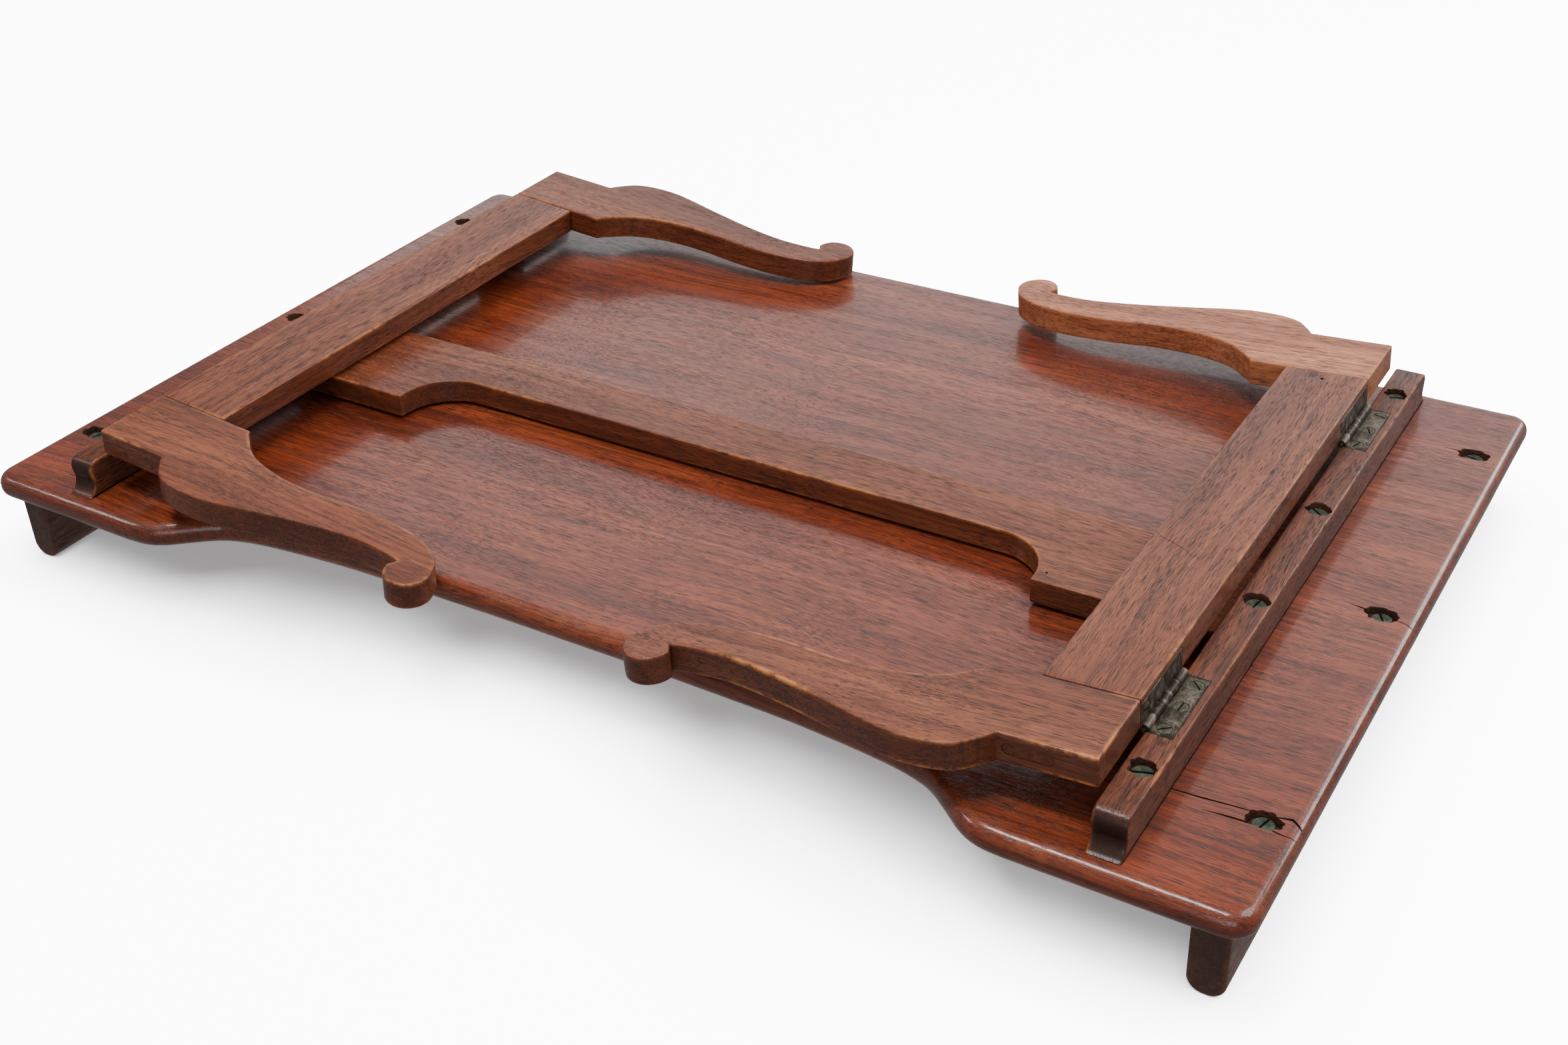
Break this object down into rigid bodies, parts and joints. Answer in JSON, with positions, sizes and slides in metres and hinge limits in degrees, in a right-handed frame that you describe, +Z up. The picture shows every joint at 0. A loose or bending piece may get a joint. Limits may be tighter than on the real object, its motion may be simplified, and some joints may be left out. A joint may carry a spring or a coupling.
{
  "type": "overbed table",
  "caption": "Wooden bed tray table lying face down, with folding scrolled legs, a cut-out apron board, a waisted front edge and end rails.",
  "frame": {"origin": "middle of the footprint, on the surface that the tray lies on, under the crests of the two end rails", "axes": "+Z up out of the board's underside, X along the tray's long edge, -Y towards the long edge with the waist cut-out"},
  "size_m": [0.6096, 0.38, 0.0761],
  "materials": {
    "polished_mahogany": "worn reddish-brown polish",
    "dark_mahogany": "dark polish with grime",
    "aged_brass": "dull, brown with age",
    "steel_pin": "dull steel wire",
    "tarnished_brass_screw": "green with verdigris"
  },
  "bodies": {
    "tray": {"left_apron_board_leaf": "aged_brass", "left_apron_hinge_pin": "steel_pin", "left_batten": "dark_mahogany", "left_batten_screw_1": "tarnished_brass_screw", "left_batten_screw_2": "tarnished_brass_screw", "left_batten_screw_3": "tarnished_brass_screw", "left_batten_screw_4": "tarnished_brass_screw", "left_far_batten_leaf": "aged_brass", "left_far_hinge_pin": "steel_pin", "left_gallery_rail": "polished_mahogany", "left_near_batten_leaf": "aged_brass", "left_near_hinge_pin": "steel_pin", "left_rail_screw_1": "tarnished_brass_screw", "left_rail_screw_2": "tarnished_brass_screw", "left_rail_screw_3": "tarnished_brass_screw", "right_apron_board_leaf": "aged_brass", "right_apron_hinge_pin": "steel_pin", "right_batten": "dark_mahogany", "right_batten_screw_1": "tarnished_brass_screw", "right_batten_screw_2": "tarnished_brass_screw", "right_batten_screw_3": "tarnished_brass_screw", "right_batten_screw_4": "tarnished_brass_screw", "right_far_batten_leaf": "aged_brass", "right_far_hinge_pin": "steel_pin", "right_gallery_rail": "polished_mahogany", "right_near_batten_leaf": "aged_brass", "right_near_hinge_pin": "steel_pin", "right_rail_screw_1": "tarnished_brass_screw", "right_rail_screw_2": "tarnished_brass_screw", "right_rail_screw_3": "tarnished_brass_screw", "tabletop": "polished_mahogany"},
    "left_legs": {"left_far_frame_leaf": "aged_brass", "left_far_leg": "polished_mahogany", "left_near_frame_leaf": "aged_brass", "left_near_leg": "polished_mahogany", "left_stretcher": "polished_mahogany"},
    "right_legs": {"right_far_frame_leaf": "aged_brass", "right_far_leg": "polished_mahogany", "right_near_frame_leaf": "aged_brass", "right_near_leg": "polished_mahogany", "right_stretcher": "polished_mahogany"},
    "apron_board": {"apron": "polished_mahogany", "left_apron_hinge_leaf": "aged_brass", "right_apron_hinge_leaf": "aged_brass"}
  },
  "joints": [
    {"name": "left_leg_fold", "type": "hinge", "parent": "tray", "child": "left_legs", "pos_m": [-0.243, 0, 0.0628], "axis": [0, -1, 0], "range_deg": [0, 95.1]},
    {"name": "right_leg_fold", "type": "hinge", "parent": "tray", "child": "right_legs", "pos_m": [0.243, 0, 0.0628], "axis": [0, 1, 0], "range_deg": [0, 93.7]},
    {"name": "apron_play", "type": "hinge", "parent": "tray", "child": "apron_board", "pos_m": [0, -0.002, 0.0461], "axis": [-1, 0, 0], "range_deg": [0, 1.5]}
  ]
}
